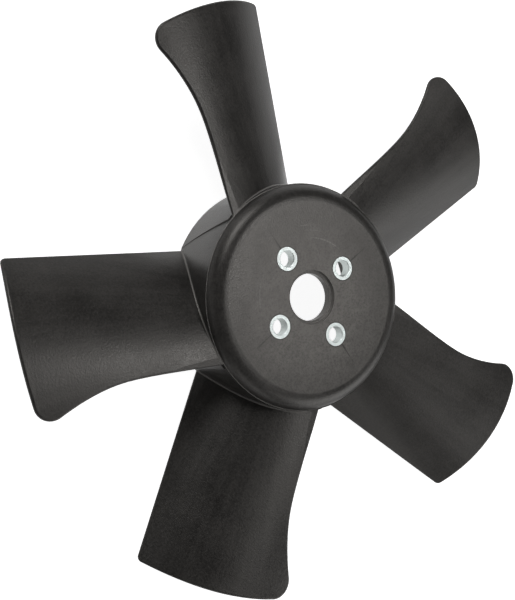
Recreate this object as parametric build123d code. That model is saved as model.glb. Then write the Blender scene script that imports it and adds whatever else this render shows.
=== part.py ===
from build123d import *
from math import cos, hypot, radians, sin
import os

# Axial fan impeller: a cup-shaped hub with twisted, cambered blades, moulded in one piece, and four steel
# bushes set in the hub's front plate for the bolts of the motor's rotor flange.
#
# Frame: millimetres. Z is the axis of rotation and points out of the hub's flat front face. The origin is
# on that axis, in the plane of the seat that the rotor flange touches, inside the cup. The reference blade
# points along +X.

# Hub
front_z = 6.0  # flat front face, above the seat
seam_z = -0.4  # where the domed cap meets the skirt
rear_z = -36.5  # rear rim, which the impeller rests on
skirt_front_radius = 60.2
skirt_rear_radius = 60.4
cap_radius = 60.0
cap_edge_radius = 59.7  # where the cap's rounding ends, in a fine ledge on the skirt
cap_round = 9.0  # rounding between the front face and the side of the cap
cup_front_radius = 50.4  # the cup's wall has draft, so it widens to the rear
cup_rear_radius = 51.0
cup_corner = 3.0
plate_rear_z = 1.5  # the plate is thinner outside the seat
seat_radius = 36.0
wall_lap = 3.0  # how deep the skirt and the core of the hub run into each other

# Central bore
bore_radius = 12.5
bore_round = 2.0

# Bushes
bolt_circle_radius = 25.0
bush_angles = (0, 90, 180, 270)
bush_radius = 6.2
bush_bore_radius = 4.2
bush_groove_width = 1.6
bush_groove_depth = 0.5
bush_chamfer = 0.3

# Blades. They are unevenly spaced, symmetric about the reference blade, so that the blades' passing tones
# spread out while the impeller stays in balance.
blade_angles = (0, 70, 148, 212, 290)
root_station = 60.0  # a station is a distance from the axis along the blade's own radial line
tip_station = 159.0
tip_radius = 159.0
blade_thickness = 2.5
trailing_edge_side = (-29.0, -33.2)  # trailing edge beside the radial line, at the root and at the tip
trailing_edge_z = (-34.5, -26.2)
pitch_degrees = (57.3, 40.8)  # slope of the blade at its trailing edge
camber_radius = (72.0, 96.7)
chord = 68.3  # width along the camber line, inside the flare
flare_station = 97.0  # from here out the leading edge sweeps forward
flare_radius = 81.0
ear_round = 9.0  # corner between the leading edge and the tip
tail_round = 3.0  # corner between the trailing edge and the tip
edge_round = 1.1
root_fillet = 0.8
section_stations = (46, 70, 95, 115, 130, 145, 165)

# Parting step: the skirt behind each blade is formed by the rear half of the mould, and stands proud of
# the rest along a slanting line from this blade's leading edge to the next blade's trailing edge.
step_front_radius = 60.9
step_rear_radius = 60.6
step_front_z = -2.2
step_ledge = 6.0  # run of the step along the seam, from the leading edge
step_tail_gap = 4.0  # what the line leaves to the next blade's trailing edge, along the rear rim

far = 200.0  # longer than anything it cuts


def along_span(root_value, tip_value, station):
    """A value that changes evenly from the root station to the tip station."""
    share = (station - root_station) / (tip_station - root_station)
    return root_value + (tip_value - root_value) * share


def chord_at(station):
    return chord + max(0.0, station - flare_station) ** 2 / (2 * flare_radius)


def blade_point(station, arc_length, offset=0.0):
    """(side, z) of a point on the camber arc, arc_length from the trailing edge, offset to the front."""
    side = along_span(*trailing_edge_side, station)
    height = along_span(*trailing_edge_z, station)
    pitch = radians(along_span(*pitch_degrees, station))
    radius = 1 / along_span(1 / camber_radius[0], 1 / camber_radius[1], station)
    turned = pitch - arc_length / radius
    centre_side = side + radius * sin(pitch)
    centre_z = height - radius * cos(pitch)
    return (centre_side - (radius + offset) * sin(turned), centre_z + (radius + offset) * cos(turned))


def blade_section(station):
    """The blade's section at a station, run on past the leading edge for the planform to trim."""
    half = blade_thickness / 2
    start, end = -half, chord_at(station) + 5 * blade_thickness
    middle = (start + end) / 2
    with BuildSketch(Plane(origin=(station, 0, 0), x_dir=(0, 1, 0), z_dir=(1, 0, 0))) as section:
        with BuildLine():
            front = ThreePointArc(*(blade_point(station, s, half) for s in (start, middle, end)))
            rear = ThreePointArc(*(blade_point(station, s, -half) for s in (end, middle, start)))
            Line(front @ 1, rear @ 0)
            Line(rear @ 1, front @ 0)
        make_face()
    return section.sketch


def blade_planform():
    """A prism through the blade's leading edge, ear and tip, seen along the axis."""
    first, last = section_stations[0], section_stations[-1]
    edge_stations = (first, 70, flare_station, 110, 122, 134, 146, 158, last + 5)
    half = blade_thickness / 2
    leading_edge = [(x, blade_point(x, chord_at(x) + half)[0]) for x in edge_stations]
    with BuildSketch(Plane.XY.offset(-far / 2)) as planform:
        with BuildLine():
            curve = Spline(*leading_edge)
            Polyline(curve @ 1, (last + 5, -far / 2), (first, -far / 2), curve @ 0)
        make_face()
        Circle(tip_radius, mode=Mode.INTERSECT)
        ear = planform.vertices().sort_by(Axis.Y)[-2:].sort_by(Axis.X)[-1]
        fillet(ear, ear_round)
    return extrude(planform.sketch, far)


def blade():
    """One blade along +X, with rounded corners and edges, from inside the skirt to the tip."""
    plate = (loft([blade_section(x) for x in section_stations]) & blade_planform()).solid()
    corners = plate.edges().filter_by(lambda e: e.length < 2 * blade_thickness)
    plate = plate.fillet(tail_round, [corners.filter_by(lambda e: e.center().X > 140).sort_by(Axis.Y)[0]])
    sides = plate.faces().sort_by(SortBy.AREA)[-2:]
    root_x = section_stations[0]
    outline = [e for face in sides for e in face.edges() if (e @ 0.5).X > root_x + 0.5]
    return plate.fillet(edge_round, outline)


def skirt_radius(z):
    slope = (skirt_rear_radius - skirt_front_radius) / (seam_z - rear_z)
    return skirt_front_radius + slope * (seam_z - z)


def tapered_ring(inner_radius, low, high):
    """A ring about the axis, from the (radius, z) of its lower outer edge to that of its upper one."""
    with BuildSketch(Plane.XZ) as section:
        with BuildLine():
            Polyline((inner_radius, low[1]), low, high, (inner_radius, high[1]), close=True)
        make_face()
    return revolve(section.sketch, Axis.Z)


def bladed_skirt():
    """The skirt with its blades, whose roots run into it in a fillet."""
    spare = 25.0
    ends = [(skirt_radius(z), z) for z in (rear_z - spare, seam_z + spare)]
    inner_radius = skirt_rear_radius - 3 * wall_lap
    wall = tapered_ring(inner_radius, *ends)
    root_cut = Cylinder(inner_radius + wall_lap, far)
    for angle in blade_angles:
        wall += Rot(0, 0, angle) * (blade() - root_cut)

    def on_skirt(edge):
        points = [edge @ share for share in (0, 0.5, 1)]
        return all(abs(hypot(p.X, p.Y) - skirt_radius(p.Z)) < 0.02 for p in points)

    wall = wall.solid()
    on_wall = wall.edges().filter_by(on_skirt).filter_by(lambda e: e.geom_type != GeomType.LINE)
    roots = [e for e in on_wall if rear_z - spare + 1 < e.center().Z < seam_z + spare - 1]
    wall = wall.fillet(root_fillet, roots)
    kept = Pos(0, 0, (rear_z + seam_z) / 2) * Cylinder(far, seam_z - rear_z)
    return (wall & kept).solid()


def step_patch(angle, next_angle):
    """The proud part of the skirt behind one blade, bounded by that blade and the parting line."""
    station = skirt_rear_radius - 2 * wall_lap
    camber = [blade_point(station, chord_at(station) * share) for share in (0.05, 0.5, 0.97)]
    low_z = rear_z - 1
    tail_side = trailing_edge_side[0]
    tail_reach = (root_station**2 - tail_side**2) ** 0.5
    turn = radians(next_angle - angle)
    line_end = tail_reach * sin(turn) + (tail_side - step_tail_gap) * cos(turn)
    with BuildSketch(Plane(origin=(0, 0, 0), x_dir=(0, 1, 0), z_dir=(1, 0, 0))) as outline:
        with BuildLine():
            edge = ThreePointArc(*camber)
            line_start = (camber[-1][0] + step_ledge, step_front_z)
            Polyline(edge @ 1, line_start, (line_end, low_z), (camber[0][0], low_z), edge @ 0)
        make_face()
    region = extrude(outline.sketch, skirt_rear_radius + wall_lap)
    low, high = (step_rear_radius, rear_z), (step_front_radius, step_front_z)
    shell = tapered_ring(skirt_rear_radius - wall_lap, low, high)
    return Rot(0, 0, angle) * (region & shell)


def hub_core():
    """The domed cap, the plate with its seat and bore, and the wall of the cup, as one revolved section."""
    lip = cap_radius - cap_round
    mouth = bore_radius + bore_round
    with BuildSketch(Plane.XZ) as section:
        with BuildLine():
            Polyline((bore_radius, front_z - bore_round), (bore_radius, 0), (seat_radius, 0),
                     (seat_radius + plate_rear_z, plate_rear_z), (cup_front_radius, plate_rear_z),
                     (cup_rear_radius, rear_z), (skirt_rear_radius - wall_lap, rear_z),
                     (skirt_front_radius - wall_lap, seam_z), (cap_edge_radius, seam_z))
            RadiusArc((cap_edge_radius, seam_z), (lip, front_z), -cap_round)
            Line((lip, front_z), (mouth, front_z))
            RadiusArc((mouth, front_z), (bore_radius, front_z - bore_round), bore_round)
        make_face()
        corner = section.vertices().sort_by_distance((cup_front_radius, 0, plate_rear_z))[0]
        fillet(corner, cup_corner)
    return revolve(section.sketch, Axis.Z)


def bush_body():
    """The outside of a bush, which its place in the plate fits. The groove keys it in the moulding."""
    body = Cylinder(bush_radius, front_z)
    groove = Cylinder(bush_radius, bush_groove_width)
    groove -= Cylinder(bush_radius - bush_groove_depth, bush_groove_width)
    return Pos(0, 0, front_z / 2) * (body - groove)


def bush():
    """A steel bush for one bolt, flush with both sides of the plate."""
    body = bush_body() - Pos(0, 0, front_z / 2) * Cylinder(bush_bore_radius, front_z)
    mouths = body.edges().filter_by(GeomType.CIRCLE).filter_by(lambda e: e.radius < bush_bore_radius + 0.01)
    return chamfer(mouths, bush_chamfer)


def at_bush(angle, shape):
    return Rot(0, 0, angle) * Pos(bolt_circle_radius, 0, 0) * shape


def impeller():
    body = bladed_skirt() + hub_core()
    following = blade_angles[1:] + (blade_angles[0] + 360,)
    for angle, next_angle in zip(blade_angles, following):
        body += step_patch(angle, next_angle)
    for angle in bush_angles:
        body -= at_bush(angle, bush_body())
    return body.solid()


os.makedirs("parts", exist_ok=True)
export_step(impeller(), "parts/impeller.step")
for number, angle in enumerate(bush_angles, start=1):
    export_step(at_bush(angle, bush()), f"parts/bush_{number}.step")
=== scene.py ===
from math import cos, pi, radians, sin
import bpy
from mathutils import Matrix, Vector


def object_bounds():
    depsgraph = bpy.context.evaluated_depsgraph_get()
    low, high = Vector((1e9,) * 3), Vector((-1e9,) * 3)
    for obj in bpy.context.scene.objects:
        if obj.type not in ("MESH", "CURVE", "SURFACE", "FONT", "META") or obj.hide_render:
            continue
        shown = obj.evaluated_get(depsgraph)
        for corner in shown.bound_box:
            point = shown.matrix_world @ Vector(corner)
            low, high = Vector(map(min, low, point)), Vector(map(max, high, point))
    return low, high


# Looks of the axial fan impeller. Lengths are metres in the frame of the CAD: Z is the axis of rotation,
# out of the hub's flat front face, and the reference blade points along +X.

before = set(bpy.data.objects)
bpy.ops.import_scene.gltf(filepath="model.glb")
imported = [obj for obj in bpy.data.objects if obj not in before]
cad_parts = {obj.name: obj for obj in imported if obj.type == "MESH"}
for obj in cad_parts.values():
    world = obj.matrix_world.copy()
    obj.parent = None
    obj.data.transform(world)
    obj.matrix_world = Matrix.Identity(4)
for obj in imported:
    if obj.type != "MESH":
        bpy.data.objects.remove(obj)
cad_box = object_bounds()
scene = bpy.context.scene
floor_level = cad_box[0][2]
face_level = cad_box[1][2]


# ---------------------------------------------------------------- camera

CAMERA_PLACE = Vector((-0.279153, 0.215211, 0.523431))
CAMERA_RIGHT = Vector((0.67226932, -0.52214213, 0.52480621))
CAMERA_UP = Vector((0.61356391, 0.789645, -0.00033))
FOCAL_PIXELS = 1193.3
IMAGE_HEIGHT = 600  # pixels, the longer side of the photograph's frame
SENSOR = 36.0  # millimetres, along the longer side
CLIP_START, CLIP_END = 0.01, 50


def add_camera():
    data = bpy.data.cameras.new("camera")
    data.sensor_width = SENSOR
    data.lens = FOCAL_PIXELS * SENSOR / IMAGE_HEIGHT
    data.clip_start = CLIP_START
    data.clip_end = CLIP_END
    item = bpy.data.objects.new("camera", data)
    scene.collection.objects.link(item)
    right = CAMERA_RIGHT.normalized()
    up = (CAMERA_UP - right * CAMERA_UP.dot(right)).normalized()
    turn = Matrix((right, up, right.cross(up))).transposed().to_4x4()
    item.matrix_world = Matrix.Translation(CAMERA_PLACE) @ turn
    scene.camera = item


# ---------------------------------------------------------------- node helpers

# Sockets of the Mix node when it mixes colours
MIX_SHARE, MIX_FIRST, MIX_SECOND, MIX_RESULT = 0, 6, 7, 2


class Graph:
    """A material's node tree, with short calls for the nodes that the materials here use."""

    def __init__(self, name):
        self.material = bpy.data.materials.new(name)
        self.material.use_nodes = True
        self.tree = self.material.node_tree
        self.shader = self.tree.nodes["Principled BSDF"]

    def node(self, kind, **settings):
        item = self.tree.nodes.new("ShaderNode" + kind)
        for key, value in settings.items():
            setattr(item, key, value)
        return item

    def feed(self, socket, value):
        """Links an output to the socket, or sets the socket's own value."""
        if isinstance(value, bpy.types.NodeSocket):
            self.tree.links.new(value, socket)
        elif value is not None:
            socket.default_value = value

    def shade(self, **values):
        """Feeds the shader's sockets, named with _ for a space."""
        for name, value in values.items():
            self.feed(self.shader.inputs[name.replace("_", " ")], value)

    def math(self, operation, first, second=None):
        item = self.node("Math", operation=operation)
        self.feed(item.inputs[0], first)
        self.feed(item.inputs[1], second)
        return item.outputs[0]

    def times(self, first, *others):
        for other in others:
            first = self.math("MULTIPLY", first, other)
        return first

    def plus(self, first, *others):
        for other in others:
            first = self.math("ADD", first, other)
        return first

    def away(self, value, centre):
        """How far value is from centre, without its sign."""
        return self.math("ABSOLUTE", self.math("SUBTRACT", value, centre))

    def reach(self, x, y):
        """The length of the plane vector x, y."""
        return self.math("SQRT", self.plus(self.times(x, x), self.times(y, y)))

    def position(self):
        return self.node("TexCoord").outputs["Object"]

    def split(self, vector):
        item = self.node("SeparateXYZ")
        self.feed(item.inputs[0], vector)
        return item.outputs[0], item.outputs[1], item.outputs[2]

    def join(self, x, y, z):
        item = self.node("CombineXYZ")
        for socket, value in zip(item.inputs, (x, y, z)):
            self.feed(socket, value)
        return item.outputs[0]

    def noise(self, vector, scale, detail, roughness, distortion=0.0):
        item = self.node("TexNoise")
        self.feed(item.inputs["Vector"], vector)
        item.inputs["Scale"].default_value = scale
        item.inputs["Detail"].default_value = detail
        item.inputs["Roughness"].default_value = roughness
        item.inputs["Distortion"].default_value = distortion
        return item.outputs["Fac"]

    def ramp(self, value, low, high, low_out=0.0, high_out=1.0):
        """A smooth step from low_out, where value is low, to high_out, where it is high."""
        item = self.node("MapRange", interpolation_type="SMOOTHSTEP")
        for socket, number in zip(item.inputs[:5], (value, low, high, low_out, high_out)):
            self.feed(socket, number)
        return item.outputs[0]

    def mix(self, share, first, second):
        item = self.node("Mix", data_type="RGBA")
        self.feed(item.inputs[MIX_SHARE], share)
        self.feed(item.inputs[MIX_FIRST], first)
        self.feed(item.inputs[MIX_SECOND], second)
        return item.outputs[MIX_RESULT]

    def bump(self, height, distance, strength, normal=None):
        item = self.node("Bump")
        item.inputs["Distance"].default_value = distance
        item.inputs["Strength"].default_value = strength
        self.feed(item.inputs["Height"], height)
        self.feed(item.inputs["Normal"], normal)
        return item.outputs["Normal"]


def grey(level, warm=0.0):
    return (level * (1 + warm), level, level * (1 - warm), 1)


WHITE = (1, 1, 1, 1)
NOISE_MIDDLE = 0.5


# ---------------------------------------------------------------- plastic of the impeller

# A pattern is a noise: its scale, detail, roughness and distortion. A fade is a smooth step, from nothing
# at its first value to all at its second, or from its third value to its fourth. A relief is a bump: its
# depth and strength.

# Patterns that several of the marks share
CLOUD = (38, 4, 0.6)
SPECK = (900, 3, 0.7)

# The flat front face, as a mask: it ends where the rounding begins
FACE_RADIUS = (0.051, 0.050)
FACE_DEPTH = (0.0006, 0.0002)  # below the front face

# Skin: its streaks follow the flow, by radius, angle and height
STREAKS = (1.0, 4, 0.6)
STREAK_SCALES = (14, 26, 160)
TONE_SHARES = (0.4, 0.35, 0.6)  # of the clouds, the streaks and the specks
TONE = (0.45, 0.9)
DARK_SKIN = grey(0.014, 0.05)
PALE_SKIN = grey(0.040, 0.06)

# Wear of the face, with a rubbed patch in the middle whose edge the clouds push in and out
RUBBED_RADIUS = (0.062, 0.030)
RUBBED_WANDER = 0.02
FACE_WEAR = 0.34
RUBBED_WEAR = 0.58
BLOTCH = (130, 4, 0.65, 0.4)
BLOTCH_WEAR = (0.3, 0.7, 0.75, 1.15)
SPECK_WEAR = (0.3, 0.6, 0.55, 1.15)
WORN_SKIN = grey(0.125, 0.06)

# Light scuffs in arcs on the face: radius, first and last angle in degrees, half width, strength
SCUFFS = [
    (0.0311, 16, 56, 0.0004, 0.75),
    (0.0352, 40, 60, 0.0003, 0.45),
    (0.0378, 50, 66, 0.0004, 0.60),
    (0.0321, 116, 164, 0.0005, 0.35),
    (0.0338, 124, 156, 0.0004, 0.25),
]
SCUFF_WANDER = 0.0015
SCUFF_FULL = 0.5  # the share of an arc, about its middle, that is at full strength
SCUFF_SPECK = (0.35, 0.55)
SCUFFED_SKIN = grey(0.26, 0.04)

# Knit lines, on the four radii of the bushes
KNIT_PATTERN = (160, 2, 0.5)
KNIT_WANDER = 0.0012
KNIT_HALF_WIDTH = (0.0005, 0.0001)
KNIT_START = (0.0310, 0.0318)
KNIT_END = (0.0460, 0.040)
KNIT_STRENGTH = 0.75
# the dark of the knit lines, and of the painted shade in the gaps round the bushes
DARK_LINE_AND_SHADE = grey(0.006)

# Painted highlight on the fillets of the blade roots: they are coloured paler, as where they catch the
# light. The fillets are told from the skirt's wall and from the blades by radius and by how far the
# surface faces outwards
ROOT_INNER = (0.0603, 0.0605)
ROOT_OUTER = (0.0613, 0.0610)
ROOT_OFF_WALL = (0.97, 0.85)
ROOT_OFF_BLADE = (0.1, 0.25)
ROOT_DEPTH = (0.006, 0.007)  # below the front face
ROOT_HIGHLIGHT_STRENGTH = 0.8
# colour of the painted highlight on the root fillets
ROOT_HIGHLIGHT = grey(0.16, 0.05)

# Trimmed bore: rings in its colour, which the clouds bend, and finer ones in its relief. Its paler colour
# is partly the trimmed finish and partly painted light, which lifts the shade on the rounding of its
# mouth
BORE_RADIUS = (0.0150, 0.0143)
BORE_RING_PITCH = 0.0007
BORE_RING_BEND = 9.0  # radians
BORE_RINGS = (-1.0, 1.0, 0.55, 0.95)
BORE_SPECK = (0.3, 0.6, 0.6, 1.0)
# paler colour of the bore: trimmed finish, and painted light on the mouth's rounding
BORE_TRIM_AND_LIGHT = grey(0.19, 0.05)
MOUTH_RADIUS = (0.0150, 0.0140)
MOUTH_RING_PITCH = 0.0006
MOUTH_RELIEF = (0.00012, 0.6)

# Painted shade in the narrow gap round each bush
BOLT_CIRCLE = 0.025
BUSH_RADIUS = 0.0062
GAP_REACH = (0.0009, 0.0002)  # outside the bush
GAP_SHADE_STRENGTH = 0.7

# Gloss and grain
GLOSS_SHARES = (0.4, 0.6)  # of the clouds and the specks
ROUGHNESS = (0.3, 0.7, 0.28, 0.42)
RUBBED_ROUGHNESS = 0.06  # added where the face is rubbed
GRAIN = (1000, 3, 0.6)
GRAIN_RELIEF = (0.00018, 0.5)
SPECULAR_TINT = (1.0, 0.965, 0.92, 1)


class Moulding(Graph):
    """Near-black moulded plastic, with the places and patterns that its marks share.

    Each method whose name starts with add_ lays one kind of mark over the colour it is given.
    """

    def __init__(self):
        super().__init__("moulding")
        self.place = self.position()
        self.x, self.y, self.z = self.split(self.place)
        self.radius = self.reach(self.x, self.y)
        self.angle = self.math("ARCTAN2", self.y, self.x)
        self.on_face = self.times(self.ramp(self.radius, *FACE_RADIUS), self.below_face(*FACE_DEPTH))
        self.cloud = self.noise(self.place, *CLOUD)
        self.speck = self.noise(self.place, *SPECK)
        pushed = self.plus(self.radius, self.times(self.cloud, RUBBED_WANDER))
        self.rubbed = self.times(self.on_face, self.ramp(pushed, *RUBBED_RADIUS))
        # the same in all four quarters: along the nearest radius with a bush, and across it
        sides = [self.math("ABSOLUTE", side) for side in (self.x, self.y)]
        self.along = self.math("MAXIMUM", *sides)
        self.across = self.math("MINIMUM", *sides)

    def below_face(self, start, end):
        """A fade in height, between two depths below the front face."""
        return self.ramp(self.z, face_level - start, face_level - end)

    def shares(self, patterns, weights):
        """The sum of the patterns, each times its weight."""
        return self.plus(*(self.times(*pair) for pair in zip(patterns, weights)))

    def skin(self):
        """The bare skin's colour, cloudy, streaky and speckled."""
        stretched = [self.times(*pair) for pair in zip((self.radius, self.angle, self.z), STREAK_SCALES)]
        streaks = self.noise(self.join(*stretched), *STREAKS)
        tone = self.shares((self.cloud, streaks, self.speck), TONE_SHARES)
        return self.mix(self.ramp(tone, *TONE), DARK_SKIN, PALE_SKIN)

    def add_wear(self, base):
        """The face worn paler, most of all towards the middle."""
        wear = self.shares((self.on_face, self.rubbed), (FACE_WEAR, RUBBED_WEAR))
        blotch = self.ramp(self.noise(self.place, *BLOTCH), *BLOTCH_WEAR)
        wear = self.times(wear, blotch, self.ramp(self.speck, *SPECK_WEAR))
        return self.mix(wear, base, WORN_SKIN)

    def add_scuffs(self, base):
        """Light scuffs in arcs, such as a washer or a glove leaves."""
        for radius, first, last, half_width, strength in SCUFFS:
            middle, half = radians((first + last) / 2), radians((last - first) / 2)
            centre = self.plus(self.times(self.cloud, SCUFF_WANDER), radius - SCUFF_WANDER / 2)
            beside = self.ramp(self.away(self.radius, centre), half_width, 0.0)
            round_arc = self.ramp(self.away(self.angle, middle), half, half * SCUFF_FULL)
            speckled = self.ramp(self.speck, *SCUFF_SPECK)
            scuff = self.times(beside, round_arc, speckled, self.times(self.on_face, strength))
            base = self.mix(scuff, base, SCUFFED_SKIN)
        return base

    def add_knit_lines(self, base):
        """Lines outwards from each bush, where the streams of plastic met behind it."""
        wander = self.math("SUBTRACT", self.noise(self.place, *KNIT_PATTERN), NOISE_MIDDLE)
        centre = self.plus(self.across, self.times(wander, KNIT_WANDER))
        line = self.ramp(self.math("ABSOLUTE", centre), *KNIT_HALF_WIDTH)
        span = self.times(self.ramp(self.along, *KNIT_START), self.ramp(self.along, *KNIT_END))
        return self.mix(self.times(line, span, self.on_face, KNIT_STRENGTH), base, DARK_LINE_AND_SHADE)

    def add_root_highlights(self, base):
        """Painted highlight on the tight fillets where the blades meet the skirt: paler than the skin
        beside them, as where they catch the light.
        """
        normal = self.split(self.node("TexCoord").outputs["Normal"])
        facing = self.plus(self.times(self.x, normal[0]), self.times(self.y, normal[1]))
        outwards = self.math("DIVIDE", facing, self.radius)
        ring = self.times(self.ramp(self.radius, *ROOT_INNER), self.ramp(self.radius, *ROOT_OUTER))
        slope = self.times(self.ramp(outwards, *ROOT_OFF_WALL), self.ramp(outwards, *ROOT_OFF_BLADE))
        root_highlight = self.times(ring, slope, self.below_face(*ROOT_DEPTH))
        # paints the fillets paler, standing in for the highlight they catch
        return self.mix(self.times(root_highlight, ROOT_HIGHLIGHT_STRENGTH), base, ROOT_HIGHLIGHT)

    def add_trimmed_bore_and_light(self, base):
        """The trimmed bore, dull and paler than the moulded skin: the paler colour is partly its trimmed
        finish and partly painted light, which lifts the shade on the rounding of its mouth.
        """
        turned = self.times(self.radius, 2 * pi / BORE_RING_PITCH)
        rings = self.math("SINE", self.plus(turned, self.times(self.cloud, BORE_RING_BEND)))
        bore_and_light = self.times(self.ramp(self.radius, *BORE_RADIUS), self.ramp(self.speck, *BORE_SPECK))
        return self.mix(self.times(bore_and_light, self.ramp(rings, *BORE_RINGS)), base, BORE_TRIM_AND_LIGHT)

    def add_bush_gap_shade(self, base):
        """Painted shade in the narrow gap round each bush, where the plastic meets the steel."""
        from_bush = self.reach(self.math("SUBTRACT", self.along, BOLT_CIRCLE), self.across)
        gap_shade = self.ramp(from_bush, *(BUSH_RADIUS + reach for reach in GAP_REACH))
        # paints shade into the colour round each bush
        return self.mix(self.times(gap_shade, self.on_face, GAP_SHADE_STRENGTH), base, DARK_LINE_AND_SHADE)

    def roughness(self):
        gloss = self.ramp(self.shares((self.cloud, self.speck), GLOSS_SHARES), *ROUGHNESS)
        return self.plus(gloss, self.times(self.rubbed, RUBBED_ROUGHNESS))

    def relief(self):
        """Fine spark grain all over, and fine rings in the mouth of the bore."""
        grain = self.bump(self.noise(self.place, *GRAIN), *GRAIN_RELIEF)
        rings = self.math("SINE", self.times(self.radius, 2 * pi / MOUTH_RING_PITCH))
        mouth = self.times(self.ramp(self.radius, *MOUTH_RADIUS), rings)
        return self.bump(mouth, *MOUTH_RELIEF, grain)


def make_plastic():
    g = Moulding()
    base = g.skin()
    marks = (g.add_wear, g.add_scuffs, g.add_knit_lines, g.add_root_highlights, g.add_trimmed_bore_and_light,
             g.add_bush_gap_shade)
    for add_mark in marks:
        base = add_mark(base)
    g.shade(Base_Color=base, Roughness=g.roughness(), Normal=g.relief(), Specular_Tint=SPECULAR_TINT)
    return g.material


# ---------------------------------------------------------------- steel of the bushes

ZINC_CLOUD = (420, 3, 0.6)
ZINC_DARK = (0.54, 0.62, 0.60, 1)
ZINC_PALE = (0.92, 0.95, 0.94, 1)
ZINC_METALLIC = 0.75
ZINC_ROUGHNESS = (0.3, 0.7, 0.34, 0.5)
ZINC_GRAIN = (1500, 3, 0.6)
ZINC_RELIEF = (0.00015, 0.6)


def make_zinc():
    """Bright zinc plate, a little clouded and grained."""
    g = Graph("bush_steel")
    place = g.position()
    cloud = g.noise(place, *ZINC_CLOUD)
    grain = g.bump(g.noise(place, *ZINC_GRAIN), *ZINC_RELIEF)
    g.shade(Base_Color=g.mix(cloud, ZINC_DARK, ZINC_PALE), Metallic=ZINC_METALLIC,
            Roughness=g.ramp(cloud, *ZINC_ROUGHNESS), Normal=grain)
    return g.material


# ---------------------------------------------------------------- floor, world and lamps

FLOOR_HALF = 6.0
FLOOR_GAP = 0.0002  # below the rim that the impeller rests on
FLOOR_COLOUR = (0.8, 0.8, 0.8, 1)
FLOOR_ROUGHNESS = 0.95
FLOOR_SPECULAR = 0.0
# The floor's own light, by distance from the axis: to the camera, and in reflections near the hub and
# further out
FLOOR_SEEN = (0.35, 1.2, 0.93, 1.0)
FLOOR_NEAR = (0.090, 0.068, 0.0, 0.68)
FLOOR_FAR = (0.30, 0.45, 0.22, 0.60)

WORLD_SEEN = 1.0
WORLD_LEVEL = 0.05

# Soft boxes, all as far from the origin: azimuth and elevation in degrees, width, height, and brightness
# of the surface
LAMP_DISTANCE = 1.5
LAMPS = {
    "key": (-18, 63, 0.35, 0.35, 9.8),
    "key_halo": (-18, 63, 0.60, 0.50, 0.9),
    "key_left": (-66, 71, 0.50, 0.40, 1.8),
    "key_right": (12, 64, 0.40, 0.40, 0.9),
    "north": (78, 36, 0.80, 0.60, 4.9),
    "north_low": (78, 10, 0.60, 0.45, 1.2),
    "south": (-78, 18, 1.30, 0.80, 2.0),
    "south_high": (-95, 40, 0.80, 0.50, 0.8),
    "southwest": (-140, 15, 0.90, 0.50, 1.3),
    "northwest": (148, 14, 0.80, 0.50, 0.5),
    "east": (35, 8, 0.90, 0.40, 0.6),
}


def make_floor():
    """A plain pale floor that reads as white and keeps a faint shadow."""
    half, level = FLOOR_HALF, floor_level - FLOOR_GAP
    mesh = bpy.data.meshes.new("floor")
    corners = [(-half, -half, level), (half, -half, level), (half, half, level), (-half, half, level)]
    mesh.from_pydata(corners, [], [(0, 1, 2, 3)])
    item = bpy.data.objects.new("floor", mesh)
    scene.collection.objects.link(item)
    g = Graph("floor_paper")
    path = g.node("LightPath")
    x, y, _ = g.split(g.position())
    distance = g.reach(x, y)
    seen = g.times(path.outputs["Is Camera Ray"], g.ramp(distance, *FLOOR_SEEN))
    glow = g.plus(g.ramp(distance, *FLOOR_NEAR), g.ramp(distance, *FLOOR_FAR))
    shown = g.times(path.outputs["Is Glossy Ray"], glow)
    g.shade(Base_Color=FLOOR_COLOUR, Roughness=FLOOR_ROUGHNESS, Specular_IOR_Level=FLOOR_SPECULAR,
            Emission_Color=WHITE, Emission_Strength=g.plus(seen, shown))
    mesh.materials.append(g.material)


def make_world():
    """White to the camera, and a low even light on the rest."""
    world = bpy.data.worlds.new("studio")
    scene.world = world
    world.use_nodes = True
    nodes, links = world.node_tree.nodes, world.node_tree.links
    path = nodes.new("ShaderNodeLightPath")
    level = nodes.new("ShaderNodeMapRange")
    level.inputs["To Min"].default_value = WORLD_LEVEL
    level.inputs["To Max"].default_value = WORLD_SEEN
    links.new(path.outputs["Is Camera Ray"], level.inputs["Value"])
    links.new(level.outputs[0], nodes["Background"].inputs["Strength"])
    nodes["Background"].inputs["Color"].default_value = WHITE


def add_lamp(name, azimuth, elevation, width, height, level):
    data = bpy.data.lights.new(name, "AREA")
    data.shape = "RECTANGLE"
    data.size = width
    data.size_y = height
    data.energy = level * pi * width * height
    item = bpy.data.objects.new(name, data)
    scene.collection.objects.link(item)
    turned, raised = radians(azimuth), radians(elevation)
    direction = Vector((cos(raised) * cos(turned), cos(raised) * sin(turned), sin(raised)))
    item.location = direction * LAMP_DISTANCE
    item.rotation_euler = item.location.to_track_quat("Z", "Y").to_euler()


# ---------------------------------------------------------------- scene

add_camera()
moulding, steel = make_plastic(), make_zinc()
for name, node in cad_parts.items():
    node.data.materials.clear()
    node.data.materials.append(moulding if name == "impeller" else steel)
make_floor()
make_world()
for name, values in LAMPS.items():
    add_lamp(name, *values)
scene.view_settings.view_transform = "Standard"
